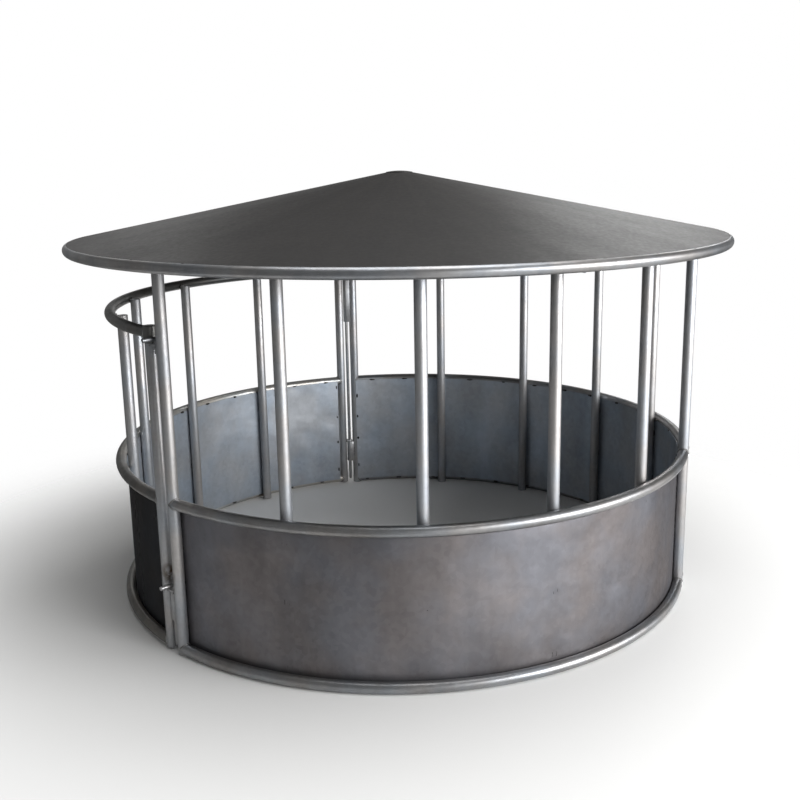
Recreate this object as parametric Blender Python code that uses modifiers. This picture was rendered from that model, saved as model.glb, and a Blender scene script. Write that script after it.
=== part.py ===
"""Covered hay feeder: a sheeted ring feeder in three bolted sections under one conical roof.

Units are metres, +Z is up, and the ring stands on Z = 0 around the Z axis. A ring angle is
measured in degrees from -Y (the front) towards +X (the right). One of the three sections is
a gate: it swings outwards on the rod at its back end and is held by two drop pins at its
front end.
"""
import math

import bmesh
import bpy
from mathutils import Matrix, Vector

# Ring and sections
RING_RADIUS = 1.200            # centre line of the bottom rail and the mid rail
SECTIONS = 3
BAYS = 5                       # feed gaps in one section
LATCH_JOINT_ANGLE = -45.0      # joint between the gate and the front section
JOINT_CLEARANCE = 0.0025       # from a lug's eye to the post of the next section
MID_RAIL_HEIGHT = 0.585        # centre of the mid rail, which is the top of the skirt
GATE_TOP_HEIGHT = 1.195        # centre of the gate's top rail
GATE_GROUND_CLEARANCE = 0.006

# Stock
RAIL_TUBE_RADIUS = 0.0212
POST_TUBE_RADIUS = 0.0212
TUBE_WALL = 0.003
SKIRT_SHEET = 0.002
GATE_SKIRT_CLEARANCE = 0.0053  # from the gate's skirt to the gate's end posts

# Roof
ROOF_OVERHANG = 0.135          # from the centre line of the ring to that of the rim tube
RIM_TUBE_RADIUS = 0.020
RIM_HEIGHT = 1.449             # centre of the rim tube
RIM_VENT_RADIUS = 0.004        # drain hole under the rim tube, at the back
RIM_VENT_ANGLE = 181.5
RIM_VENT_INSET = 0.0067        # towards the ring from the centre line of the rim tube
ROOF_RISE = 0.281              # from the rim's centre to where the cone would meet the axis
ROOF_SHEET = 0.0015
SHEET_LAP = 0.004              # the sheet runs this far past the centre line of the rim tube
RAFTERS = 6
FIRST_RAFTER_ANGLE = -30.0
RAFTER_SIZE = 0.025            # square tube
RAFTER_WALL = 0.002
RAFTER_END_CLEARANCE = 0.0012
RAFTER_SEAT_GAP = 0.0007       # flat top of a rafter under the round of the cone
STEM_RADIUS = 0.040            # hub tube that the rafters meet at the apex
STEM_WALL = 0.004
STEM_LENGTH = 0.070
CAP_RADIUS = 0.055
CAP_THICKNESS = 0.004
HANGER_THICKNESS = 0.005
HANGER_MARGIN = 0.013          # plate left around the rail's hole
HANGER_CLEARANCE = 0.002

# Joint hardware
ROD_RADIUS = 0.008
ROD_CLEARANCE = 0.0005
LUG_THICKNESS = 0.010
LUG_EYE_MARGIN = 0.0055        # metal left around the rod's hole
LUG_POST_GAP = 0.0005
LOWER_JOINT_HEIGHT = 0.2453    # top of the upper lug of the lower pair, in every joint
UPPER_JOINT_HEIGHT = 1.1503    # top of the upper pair in the hinge and side joints
LOWER_BARREL_LENGTH = 0.110    # deep lower lug of the lower pair
UPPER_BARREL_LENGTH = 0.230    # deep lower lug of the upper pair in the hinge and side joints
LATCH_FLANGE_GAP = 0.0005      # top lug of the latch joint, under the gate's flange
ROD_COLLAR_MARGIN = 0.0023     # collar radius over the rod's
ROD_COLLAR_THICKNESS = 0.004
ROD_HEAD = 0.010               # plain end of a long rod above its collar
ROD_NECK = 0.001               # between the collar and the bend of a pin
ROD_BEND_RADIUS = 0.012
ROD_HANDLE = 0.055             # reach of a pin's bent end, pointing out of the ring
ROD_TIP_LENGTH = 0.008
ROD_TIP_TAPER = 0.55
ROD_EDGE = 0.0002              # slope that keeps the collar's faces from being upright
ROD_GROUND_CLEARANCE = 0.020   # under the rods and the lower pin
UPPER_PIN_LENGTH = 0.040       # below its collar
SLEEVE_WALL = 0.0022           # socket on each end of the gate's top rail
SLEEVE_FLANGE_LIP = 0.0028
SLEEVE_FLANGE_THICKNESS = 0.006
SLEEVE_SOCKET_DEPTH = 0.012
SLEEVE_FIT = 0.0008            # socket bore over the post's radius
SLEEVE_TOP_THICKNESS = 0.004
SLEEVE_HEADROOM = 0.0015       # between the top rail and the socket's inner end
SLEEVE_MOUTH_MARGIN = 0.0027   # way from the rail's bore into the socket is this much narrower

# Fits and facets
GAP = 0.0003                   # between pieces that touch
STEPS_PER_BAY = 4
RAIL_SIDES = 8
POST_SIDES = 12
ROOF_STEPS = 60
CAP_STEPS = 24
SLEEVE_STEPS = 16
CUTTER_SIDES = 16
EYE_STEPS = 10
LUG_END_STEPS = 8
BORE_STEPS = 16
BEND_STEPS = 4
ROD_ROUNDNESS = 2
CUTTER_OVERSHOOT = 0.1         # cutters run on past what they cut
MERGE_DISTANCE = 0.00005
SMOOTH_ANGLE = math.radians(50)

# Values worked out from the sizes above
LUG_EYE_RADIUS = ROD_RADIUS + ROD_CLEARANCE + LUG_EYE_MARGIN
ROD_COLLAR_RADIUS = ROD_RADIUS + ROD_COLLAR_MARGIN
SECTION_ANGLE = 360.0 / SECTIONS
END_POST_OFFSET = POST_TUBE_RADIUS + LUG_EYE_RADIUS + JOINT_CLEARANCE
SKIRT_RADIUS = RING_RADIUS - RAIL_TUBE_RADIUS - GAP
END_POST_RADIUS = SKIRT_RADIUS + GAP + POST_TUBE_RADIUS
END_POST_ANGLE = math.degrees(math.asin(END_POST_OFFSET / END_POST_RADIUS))
SECTION_SPAN = SECTION_ANGLE - 2 * END_POST_ANGLE
FRONT_START = LATCH_JOINT_ANGLE + END_POST_ANGLE
SIDE_JOINT_ANGLE = LATCH_JOINT_ANGLE + SECTION_ANGLE
BACK_START = SIDE_JOINT_ANGLE + END_POST_ANGLE
HINGE_JOINT_ANGLE = SIDE_JOINT_ANGLE + SECTION_ANGLE
GATE_START = HINGE_JOINT_ANGLE + END_POST_ANGLE
UPRIGHT_RADIUS = SKIRT_RADIUS - SKIRT_SHEET - GAP - POST_TUBE_RADIUS
TOP_RAIL_RADIUS = UPRIGHT_RADIUS + POST_TUBE_RADIUS + GAP + RAIL_TUBE_RADIUS
SLEEVE_RADIUS = POST_TUBE_RADIUS + SLEEVE_FIT + SLEEVE_WALL
SLEEVE_FLANGE_RADIUS = SLEEVE_RADIUS + SLEEVE_FLANGE_LIP
SLEEVE_MOUTH_RADIUS = RAIL_TUBE_RADIUS - TUBE_WALL - SLEEVE_MOUTH_MARGIN
SLEEVE_BASE = -RAIL_TUBE_RADIUS - SLEEVE_SOCKET_DEPTH
LATCH_TOP_HEIGHT = GATE_TOP_HEIGHT + SLEEVE_BASE - LATCH_FLANGE_GAP
RIM_RADIUS = RING_RADIUS + ROOF_OVERHANG
ROOF_APEX_HEIGHT = RIM_HEIGHT + ROOF_RISE
SHEET_OFFSET = RIM_TUBE_RADIUS + GAP + ROOF_SHEET
ROOF_PITCH = (math.acos(SHEET_OFFSET / math.hypot(RIM_RADIUS, ROOF_RISE))
              - math.atan2(RIM_RADIUS, ROOF_RISE))


def sheet_height(radius, below=0.0):
    """Height of the cone at a radius, on the face that lies this far below its outer face."""
    return ROOF_APEX_HEIGHT - radius * math.tan(ROOF_PITCH) - below / math.cos(ROOF_PITCH)


TOP_RAIL_HEIGHT = sheet_height(
    TOP_RAIL_RADIUS, ROOF_SHEET + RAFTER_SEAT_GAP + RAFTER_SIZE + GAP + RAIL_TUBE_RADIUS)
POST_TOP = TOP_RAIL_HEIGHT + RAIL_TUBE_RADIUS

COLOURS = {
    "tube": ((0.52, 0.53, 0.54), 0.38, 0.85),
    "skirt": ((0.27, 0.28, 0.29), 0.48, 0.75),
    "roof": ((0.055, 0.053, 0.050), 0.55, 0.55),
    "frame": ((0.16, 0.16, 0.16), 0.50, 0.70),
    "hardware": ((0.42, 0.43, 0.44), 0.40, 0.85),
}

# Set-up


def clear_scene():
    for old in list(bpy.data.objects):
        bpy.data.objects.remove(old, do_unlink=True)


def new_collection(name):
    collection = bpy.data.collections.new(name)
    bpy.context.scene.collection.children.link(collection)
    return collection


clear_scene()
PARTS = new_collection("covered_hay_feeder")
CUTTERS = new_collection("cutters")


def give_material(obj, finish):
    colour, roughness, metallic = COLOURS[finish]
    material = bpy.data.materials.new(obj.name + "_" + finish)
    material.use_nodes = True
    shader = material.node_tree.nodes["Principled BSDF"]
    shader.inputs["Base Color"].default_value = (*colour, 1.0)
    shader.inputs["Roughness"].default_value = roughness
    shader.inputs["Metallic"].default_value = metallic
    obj.data.materials.append(material)


def add_part(name, data, finish, location=(0, 0, 0), turn=0.0):
    """Link one sub-part, turned about Z by a number of degrees."""
    obj = bpy.data.objects.new(name, data)
    obj.location = location
    obj.rotation_euler = (0, 0, math.radians(turn))
    PARTS.objects.link(obj)
    give_material(obj, finish)
    return obj


def shade_round(mesh):
    mesh.shade_smooth()
    mesh.set_sharp_from_angle(angle=SMOOTH_ANGLE)


def on_ring(radius, angle, height=0.0):
    a = math.radians(angle)
    return Vector((radius * math.sin(a), -radius * math.cos(a), height))


def from_bmesh(name, build):
    bm = bmesh.new()
    build(bm)
    mesh = bpy.data.meshes.new(name)
    bm.to_mesh(mesh)
    bm.free()
    return mesh


def profile_mesh(name, points, closed):
    """A line of points in the XZ plane, for a Screw modifier to turn about Z."""
    def build(bm):
        verts = [bm.verts.new((x, 0, z)) for x, z in points]
        for a, b in zip(verts, verts[1:]):
            bm.edges.new((a, b))
        if closed:
            bm.edges.new((verts[-1], verts[0]))
    return from_bmesh(name, build)


def turn_profile(obj, angle, steps, merge=False):
    screw = obj.modifiers.new("turn", "SCREW")
    screw.axis = "Z"
    screw.angle = math.radians(angle)
    screw.steps = steps
    screw.render_steps = steps
    screw.use_merge_vertices = merge
    screw.merge_threshold = MERGE_DISTANCE
    screw.use_smooth_shade = True


def give_wall(obj, thickness):
    """Thicken an open surface inwards, away from its outer face."""
    wall = obj.modifiers.new("wall", "SOLIDIFY")
    wall.thickness = thickness
    wall.offset = -1.0
    wall.use_even_offset = True


def add_cutter(name, radius, low, high, location, sides=CUTTER_SIDES, axis="Z", turn=0.0):
    """A closed round bar, kept as a Boolean operand only. One along Y can be turned about Z."""
    def build(bm):
        bmesh.ops.create_cone(bm, cap_ends=True, segments=sides, radius1=radius,
                              radius2=radius, depth=high - low)
        bmesh.ops.translate(bm, verts=bm.verts, vec=(0, 0, (low + high) / 2))
        if axis == "Y":
            bmesh.ops.rotate(bm, verts=bm.verts, matrix=Matrix.Rotation(-math.pi / 2, 3, "X"))
    obj = bpy.data.objects.new(name, from_bmesh(name, build))
    obj.location = location
    obj.rotation_euler = (0, 0, math.radians(turn))
    obj.hide_render = True
    obj.display_type = "WIRE"
    CUTTERS.objects.link(obj)
    return obj


def cut(obj, cutter, operation="DIFFERENCE"):
    boolean = obj.modifiers.new(operation.lower() + "_" + cutter.name, "BOOLEAN")
    boolean.operation = operation
    boolean.solver = "EXACT"
    boolean.object = cutter


def tube_mesh(name, radius, length, sides):
    """An open round tube from Z = 0 up, to be given its wall by a modifier."""
    def build(bm):
        bmesh.ops.create_cone(bm, cap_ends=False, segments=sides, radius1=radius,
                              radius2=radius, depth=length)
        bmesh.ops.translate(bm, verts=bm.verts, vec=(0, 0, length / 2))
    mesh = from_bmesh(name, build)
    shade_round(mesh)
    return mesh


# Rails, posts and skirts of one section


def rail_profile(ring_radius, tube_radius):
    """A round section that runs down on its outer side."""
    points = []
    for i in range(RAIL_SIDES):
        a = -2 * math.pi * i / RAIL_SIDES
        points.append((ring_radius + tube_radius * math.cos(a), tube_radius * math.sin(a)))
    return points


def add_rail(name, start, ring_radius, height, post_cutters):
    mesh = profile_mesh(name, rail_profile(ring_radius, RAIL_TUBE_RADIUS), closed=True)
    rail = add_part(name, mesh, "tube", (0, 0, height), start - 90)
    turn_profile(rail, SECTION_SPAN, BAYS * STEPS_PER_BAY)
    give_wall(rail, TUBE_WALL)
    for cutter in post_cutters:
        cut(rail, cutter)
    return rail


def add_post(name, ring_radius, angle, low, high):
    mesh = tube_mesh(name, POST_TUBE_RADIUS, high - low, POST_SIDES)
    post = add_part(name, mesh, "tube", on_ring(ring_radius, angle, low), angle)
    give_wall(post, TUBE_WALL)
    return post


def add_skirt(name, start, low, high):
    """Sheet that lies against the inner side of the bottom and mid rails."""
    mesh = profile_mesh(name, [(SKIRT_RADIUS, high), (SKIRT_RADIUS, low)], closed=False)
    skirt = add_part(name, mesh, "skirt", (0, 0, 0), start - 90)
    turn_profile(skirt, SECTION_SPAN, BAYS * STEPS_PER_BAY)
    give_wall(skirt, SKIRT_SHEET)
    return skirt


def add_post_room(label, angle):
    """Room for an end post in the rails that meet it."""
    return add_cutter(label + "_post_room", POST_TUBE_RADIUS + GAP, -CUTTER_OVERSHOOT,
                      POST_TOP + CUTTER_OVERSHOOT, on_ring(END_POST_RADIUS, angle), POST_SIDES * 2)


def add_section(label, start, post_names, ground, top_height, post_top):
    """Posts, bottom and mid rails, uprights, and the skirt as the last piece.

    The first end post is at start. The second list holds the room that the posts need.
    """
    end = start + SECTION_SPAN
    pieces = []
    cutters = []
    for post_name, angle in zip(post_names, (start, end)):
        pieces.append(add_post(label + "_" + post_name, END_POST_RADIUS, angle, ground, post_top))
        cutters.append(add_post_room(label + "_" + post_name, angle))
    bottom_height = ground + RAIL_TUBE_RADIUS
    pieces.append(add_rail(label + "_bottom_rail", start, RING_RADIUS, bottom_height, cutters))
    pieces.append(add_rail(label + "_mid_rail", start, RING_RADIUS, MID_RAIL_HEIGHT, cutters))
    for i in range(1, BAYS):
        angle = start + i * SECTION_SPAN / BAYS
        name = "%s_upright_%d" % (label, i)
        pieces.append(add_post(name, UPRIGHT_RADIUS, angle, ground, top_height))
    pieces.append(add_skirt(label + "_skirt", start, bottom_height, MID_RAIL_HEIGHT))
    return pieces, cutters


def add_fixed_section(label, start, post_names):
    """A section that carries the roof: its posts end level with the top of its top rail."""
    cutters = add_section(label, start, post_names, 0.0, POST_TOP, POST_TOP)[1]
    add_rail(label + "_top_rail", start, TOP_RAIL_RADIUS, TOP_RAIL_HEIGHT, cutters)


def sleeve_profile():
    """Section of the socket at an end of the gate's top rail, from its top down."""
    ceiling = RAIL_TUBE_RADIUS + SLEEVE_HEADROOM
    top = ceiling + SLEEVE_TOP_THICKNESS
    bore = POST_TUBE_RADIUS + SLEEVE_FIT
    flange_top = SLEEVE_BASE + SLEEVE_FLANGE_THICKNESS
    return [(0, top), (SLEEVE_RADIUS, top), (SLEEVE_RADIUS, flange_top),
            (SLEEVE_FLANGE_RADIUS, flange_top), (SLEEVE_FLANGE_RADIUS, SLEEVE_BASE),
            (bore, SLEEVE_BASE), (bore, ceiling), (0, ceiling)]


def add_gate():
    """The gate's top rail drops over its end posts with a socket at each end."""
    post_top = GATE_TOP_HEIGHT - RAIL_TUBE_RADIUS - 2 * GAP
    pieces = add_section("gate", GATE_START, ("hinge_post", "latch_post"),
                         GATE_GROUND_CLEARANCE, GATE_TOP_HEIGHT, post_top)[0]
    skirt = pieces[-1]
    ends = (GATE_START, GATE_START + SECTION_SPAN)
    for side, angle in zip(("hinge", "latch"), ends):
        trim = add_cutter("gate_skirt_trim_" + side, POST_TUBE_RADIUS + GATE_SKIRT_CLEARANCE,
                          -CUTTER_OVERSHOOT, POST_TOP, on_ring(END_POST_RADIUS, angle))
        cut(skirt, trim)
    rail = add_rail("gate_top_rail", GATE_START, TOP_RAIL_RADIUS, GATE_TOP_HEIGHT, [])
    for side, angle in zip(("hinge", "latch"), ends):
        name = "gate_top_sleeve_" + side
        sleeve = bpy.data.objects.new(
            name, profile_mesh(name, sleeve_profile(), closed=False))
        sleeve.location = on_ring(END_POST_RADIUS, angle, GATE_TOP_HEIGHT)
        sleeve.hide_render = True
        sleeve.display_type = "WIRE"
        CUTTERS.objects.link(sleeve)
        turn_profile(sleeve, 360, SLEEVE_STEPS, merge=True)
        cut(rail, sleeve, "UNION")
    for side, angle, turn in zip(("hinge", "latch"), ends, (-90, 90)):
        place = on_ring(TOP_RAIL_RADIUS, angle, GATE_TOP_HEIGHT)
        mouth = add_cutter("gate_top_mouth_" + side, SLEEVE_MOUTH_RADIUS, 0,
                           SLEEVE_RADIUS + RAIL_TUBE_RADIUS / 2, place, axis="Y", turn=angle + turn)
        cut(rail, mouth)
    return pieces + [rail]


# Joint hardware


def flat_outline(name, loops, thickness):
    """A flat piece from closed outlines in XY, from Z = 0 up to its thickness."""
    curve = bpy.data.curves.new(name, "CURVE")
    curve.dimensions = "2D"
    curve.fill_mode = "BOTH"
    curve.extrude = thickness / 2
    for points in loops:
        spline = curve.splines.new("POLY")
        spline.points.add(len(points) - 1)
        for point, (x, y) in zip(spline.points, points):
            point.co = (x, y, 0, 1)
        spline.use_cyclic_u = True
    return curve


def arc(centre_x, radius, start, stop, steps):
    """Points on an arc about a centre on the X axis, angles in degrees."""
    points = []
    for i in range(steps + 1):
        a = math.radians(start + (stop - start) * i / steps)
        points.append((centre_x + radius * math.cos(a), radius * math.sin(a)))
    return points


def lug_loops(reach):
    """Eye at the origin, straight sides, and a hollow end that meets a post at X = reach."""
    post = POST_TUBE_RADIUS + LUG_POST_GAP
    half = math.degrees(math.asin(LUG_EYE_RADIUS / post))
    outline = arc(0, LUG_EYE_RADIUS, 90, 270, EYE_STEPS)
    outline += arc(reach, post, 180 + half, 180 - half, LUG_END_STEPS)
    bore = arc(0, ROD_RADIUS + ROD_CLEARANCE, 0, 360, BORE_STEPS)[:-1]
    return [outline, bore]


def add_lug(name, joint_angle, side, top, length=LUG_THICKNESS):
    """A lug on the end post at one side of a joint: side is +1 for the larger ring angle."""
    centre = on_ring(END_POST_RADIUS, joint_angle)
    post = on_ring(END_POST_RADIUS, joint_angle + side * END_POST_ANGLE)
    along = post - centre
    curve = flat_outline(name, lug_loops(along.length), length)
    place = Vector((centre.x, centre.y, top - length / 2))
    return add_part(name, curve, "hardware", place, math.degrees(math.atan2(along.y, along.x)))


def add_lug_pair(joint_angle, top, lower, upper, barrel=LUG_THICKNESS):
    """Two lugs, one on the other. Each is given as its name and the side of its post."""
    add_lug(lower[0], joint_angle, lower[1], top - LUG_THICKNESS - GAP, barrel)
    return add_lug(upper[0], joint_angle, upper[1], top)


def add_rod(name, joint_angle, lugs_top, length, bent):
    """A rod that hangs by its collar on a pair of lugs. Its origin is on its axis."""
    flare = ROD_COLLAR_RADIUS / ROD_RADIUS
    points = [((0, 0, -length), ROD_TIP_TAPER), ((0, 0, -length + ROD_TIP_LENGTH), 1.0),
              ((0, 0, 0), 1.0), ((0, 0, ROD_EDGE), flare),
              ((0, 0, ROD_COLLAR_THICKNESS - ROD_EDGE), flare),
              ((0, 0, ROD_COLLAR_THICKNESS), 1.0)]
    if bent:
        bend = ROD_COLLAR_THICKNESS + ROD_NECK
        for i in range(BEND_STEPS + 1):
            a = math.radians(90 * i / BEND_STEPS)
            points.append(((ROD_BEND_RADIUS * (1 - math.cos(a)), 0,
                            bend + ROD_BEND_RADIUS * math.sin(a)), 1.0))
        points.append(((ROD_HANDLE, 0, bend + ROD_BEND_RADIUS), 1.0))
    else:
        points.append(((0, 0, ROD_COLLAR_THICKNESS + ROD_HEAD), 1.0))
    curve = bpy.data.curves.new(name, "CURVE")
    curve.dimensions = "3D"
    curve.bevel_depth = ROD_RADIUS
    curve.bevel_resolution = ROD_ROUNDNESS
    curve.use_fill_caps = True
    spline = curve.splines.new("POLY")
    spline.points.add(len(points) - 1)
    for point, (place, radius) in zip(spline.points, points):
        point.co = (*place, 1)
        point.radius = radius
    return add_part(name, curve, "hardware",
                    on_ring(END_POST_RADIUS, joint_angle, lugs_top + GAP), joint_angle - 90)


# Roof


def add_rim():
    mesh = profile_mesh("roof_rim", rail_profile(RIM_RADIUS, RIM_TUBE_RADIUS), closed=True)
    rim = add_part("roof_rim", mesh, "tube", (0, 0, RIM_HEIGHT), -90)
    turn_profile(rim, 360, ROOF_STEPS, merge=True)
    give_wall(rim, TUBE_WALL)
    vent = add_cutter("rim_vent", RIM_VENT_RADIUS, -2 * RIM_TUBE_RADIUS, 0,
                      on_ring(RIM_RADIUS - RIM_VENT_INSET, RIM_VENT_ANGLE, RIM_HEIGHT))
    cut(rim, vent)


def add_sheet():
    inner = STEM_RADIUS + GAP + ROOF_SHEET
    outer = RIM_RADIUS + SHEET_LAP
    line = [(inner, sheet_height(inner)), (outer, sheet_height(outer))]
    sheet = add_part("roof_sheet", profile_mesh("roof_sheet", line, closed=False), "roof", turn=-90)
    turn_profile(sheet, 360, ROOF_STEPS, merge=True)
    give_wall(sheet, ROOF_SHEET)


def add_cap():
    """Cap over the apex, with the hub tube that passes through the sheet."""
    low = sheet_height(STEM_RADIUS) + GAP
    top = low + CAP_THICKNESS
    bore = STEM_RADIUS - STEM_WALL
    bottom = low - STEM_LENGTH
    line = [(0, top), (CAP_RADIUS, top), (CAP_RADIUS, low), (STEM_RADIUS, low),
            (STEM_RADIUS, bottom), (bore, bottom), (bore, low), (0, low)]
    cap = add_part("roof_cap", profile_mesh("roof_cap", line, closed=False), "roof", turn=-90)
    turn_profile(cap, 360, CAP_STEPS, merge=True)


def add_rafter(name, angle):
    """Square tube under the sheet, from the hub tube to the inner side of the rim."""
    droop = RAFTER_SIZE * math.sin(ROOF_PITCH)
    inner = STEM_RADIUS + GAP + droop
    outer = RIM_RADIUS - RIM_TUBE_RADIUS - RAFTER_END_CLEARANCE + droop
    length = (outer - inner) / math.cos(ROOF_PITCH)

    def build(bm):
        bmesh.ops.create_cube(bm, size=1.0)
        bmesh.ops.scale(bm, verts=bm.verts, vec=(length, RAFTER_SIZE, RAFTER_SIZE))
        bmesh.ops.translate(bm, verts=bm.verts, vec=(length / 2, 0, -RAFTER_SIZE / 2))
        ends = [f for f in bm.faces if abs(f.normal.x) > 0.5]
        bmesh.ops.delete(bm, geom=ends, context="FACES_ONLY")
    top = ROOF_SHEET + RAFTER_SEAT_GAP
    rafter = add_part(name, from_bmesh(name, build), "frame",
                      on_ring(inner, angle, sheet_height(inner, top)))
    rafter.rotation_euler = (0, ROOF_PITCH, math.radians(angle - 90))
    give_wall(rafter, RAFTER_WALL)


def add_hanger(name, angle):
    """Plate on the side of a rafter, with the top rail of a section through its hole."""
    hole = RAIL_TUBE_RADIUS + HANGER_CLEARANCE
    half = hole + HANGER_MARGIN
    outer = TOP_RAIL_RADIUS + half
    top = sheet_height(outer, ROOF_SHEET + 2 * GAP)
    low = TOP_RAIL_HEIGHT - half

    def build(bm):
        bmesh.ops.create_cube(bm, size=1.0)
        bmesh.ops.scale(bm, verts=bm.verts, vec=(2 * half, HANGER_THICKNESS, top - low))
    side = RAFTER_SIZE / 2 + GAP + HANGER_THICKNESS / 2
    a = math.radians(angle)
    tangent = Vector((math.cos(a), math.sin(a), 0))
    place = on_ring(TOP_RAIL_RADIUS, angle, (top + low) / 2) - side * tangent
    hanger = add_part(name, from_bmesh(name, build), "hardware", place, angle - 90)
    cutter = add_cutter(name + "_hole", hole, -2 * HANGER_THICKNESS, 2 * HANGER_THICKNESS,
                        on_ring(TOP_RAIL_RADIUS, angle, TOP_RAIL_HEIGHT) - side * tangent,
                        axis="Y", turn=angle - 90)
    cut(hanger, cutter)


def add_roof():
    add_rim()
    add_sheet()
    add_cap()
    hung = 0
    for i in range(RAFTERS):
        angle = FIRST_RAFTER_ANGLE + i * 360 / RAFTERS
        add_rafter("roof_rafter_%d" % (i + 1), angle)
        if angle < HINGE_JOINT_ANGLE:
            hung += 1
            add_hanger("roof_hanger_%d" % hung, angle)


# Assembly

add_fixed_section("front", FRONT_START, ("latch_post", "side_post"))
add_fixed_section("back", BACK_START, ("side_post", "hinge_post"))
gate_pieces = add_gate()
add_roof()

for level, top, barrel in (("lower", LOWER_JOINT_HEIGHT, LOWER_BARREL_LENGTH),
                           ("upper", UPPER_JOINT_HEIGHT, UPPER_BARREL_LENGTH)):
    add_lug_pair(SIDE_JOINT_ANGLE, top, ("back_side_lug_" + level, 1),
                 ("front_side_lug_" + level, -1), barrel)
    gate_pieces.append(add_lug_pair(
        HINGE_JOINT_ANGLE, top, ("back_hinge_lug_" + level, -1), ("gate_hinge_lug_" + level, 1),
        barrel))
for level, top, barrel in (("lower", LOWER_JOINT_HEIGHT, LOWER_BARREL_LENGTH),
                           ("upper", LATCH_TOP_HEIGHT, LUG_THICKNESS)):
    gate_pieces.append(add_lug_pair(
        LATCH_JOINT_ANGLE, top, ("front_latch_lug_" + level, 1), ("gate_latch_lug_" + level, -1),
        barrel))

long_rod_length = UPPER_JOINT_HEIGHT + GAP - ROD_GROUND_CLEARANCE
lower_pin_length = LOWER_JOINT_HEIGHT + GAP - ROD_GROUND_CLEARANCE
add_rod("side_rod", SIDE_JOINT_ANGLE, UPPER_JOINT_HEIGHT, long_rod_length, bent=False)
add_rod("hinge_rod", HINGE_JOINT_ANGLE, UPPER_JOINT_HEIGHT, long_rod_length, bent=False)
gate_pieces.append(add_rod(
    "latch_pin_lower", LATCH_JOINT_ANGLE, LOWER_JOINT_HEIGHT, lower_pin_length, bent=True))
gate_pieces.append(add_rod(
    "latch_pin_upper", LATCH_JOINT_ANGLE, LATCH_TOP_HEIGHT, UPPER_PIN_LENGTH, bent=True))

# Everything on the gate turns about this empty, which stands on the hinge rod's axis
gate_axis = bpy.data.objects.new("gate_axis", None)
gate_axis.location = on_ring(END_POST_RADIUS, HINGE_JOINT_ANGLE)
PARTS.objects.link(gate_axis)
bpy.context.view_layer.update()
for piece in gate_pieces:
    piece.parent = gate_axis
    piece.matrix_parent_inverse = gate_axis.matrix_world.inverted()
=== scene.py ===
# %% [markdown]
# # A covered hay feeder
#
# This lesson dresses a finished CAD model of a round cattle feeder: a ring of steel pipe and
# sheet in three sections, one of them a gate, under a shallow cone of sheet steel. The CAD
# model says where everything is. Here each part gets the shape and the finish that the eye
# expects from galvanised steel: round pipe, rolled sheet, weld beads, and zinc that has dulled
# unevenly.
#
# Ring angles are in degrees, from -Y (the front) towards +X (the right).

# %% Load the CAD frame
import math
import random

import bmesh
import bpy
from mathutils import Matrix, Vector


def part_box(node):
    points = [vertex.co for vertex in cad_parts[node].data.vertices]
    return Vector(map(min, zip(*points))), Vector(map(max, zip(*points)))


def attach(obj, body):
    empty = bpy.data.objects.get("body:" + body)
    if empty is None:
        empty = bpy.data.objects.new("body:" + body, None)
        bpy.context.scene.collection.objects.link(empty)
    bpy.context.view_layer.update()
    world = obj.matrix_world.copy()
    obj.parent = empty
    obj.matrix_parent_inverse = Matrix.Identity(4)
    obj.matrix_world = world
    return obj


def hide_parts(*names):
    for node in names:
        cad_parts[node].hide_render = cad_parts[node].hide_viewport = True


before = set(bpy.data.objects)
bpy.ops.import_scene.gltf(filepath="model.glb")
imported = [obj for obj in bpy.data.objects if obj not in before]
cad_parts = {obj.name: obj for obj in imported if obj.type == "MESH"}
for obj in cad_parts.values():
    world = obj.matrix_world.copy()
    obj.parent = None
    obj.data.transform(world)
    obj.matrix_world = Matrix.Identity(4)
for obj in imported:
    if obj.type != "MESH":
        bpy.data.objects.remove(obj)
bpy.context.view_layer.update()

# %% [markdown]
# ## Measure the frame
#
# The sizes come from the CAD nodes, so every new piece lands on the old one. The middle of a
# post's box is its axis, and the post's ring angle follows from that. A rail's height is the
# middle of its box.

# %% Read sizes from the CAD nodes
def box_middle(node):
    low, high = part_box(node)
    return (low + high) / 2


def ring_angle(point):
    return math.degrees(math.atan2(point.x, -point.y))


def ring_point(radius, angle, height=0.0):
    a = math.radians(angle)
    return Vector((radius * math.sin(a), -radius * math.cos(a), height))


def post_angle(node):
    return ring_angle(box_middle(node))


def box_height(node):
    low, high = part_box(node)
    return high.z - low.z


RING = Vector(box_middle("front_latch_post").xy).length
UPRIGHT_RING = Vector(box_middle("front_upright_1").xy).length
TUBE = box_height("front_bottom_rail") / 2
WALL = 0.003
SHEET = 0.002
GAP = 0.0003  # between pieces that touch
SKIRT_RADIUS = RING - TUBE - GAP
TOP_RING = UPRIGHT_RING + 2 * TUBE + GAP
MID_HEIGHT = box_middle("front_mid_rail").z
TOP_HEIGHT = box_middle("front_top_rail").z
RIM_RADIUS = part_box("roof_rim")[1].x - box_height("roof_rim") / 2
RIM_TUBE = box_height("roof_rim") / 2
RIM_HEIGHT = box_middle("roof_rim").z
SIDES = 28  # of every pipe

SECTIONS = {
    "front": ("front_latch_post", "front_side_post"),
    "back": ("back_side_post", "back_hinge_post"),
    "gate": ("gate_hinge_post", "gate_latch_post"),
}
BODY = {"front": "ring", "back": "ring", "gate": "gate"}


def section_angles(section):
    """Ring angles of a section's first and last posts, the second above the first."""
    first, last = (post_angle(post) for post in SECTIONS[section])
    return first, last if last > first else last + 360


for section in SECTIONS:
    print(section, "from %.2f to %.2f degrees" % section_angles(section))
print("ring %.4f, uprights %.4f, tube %.4f" % (RING, UPRIGHT_RING, TUBE))

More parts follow.
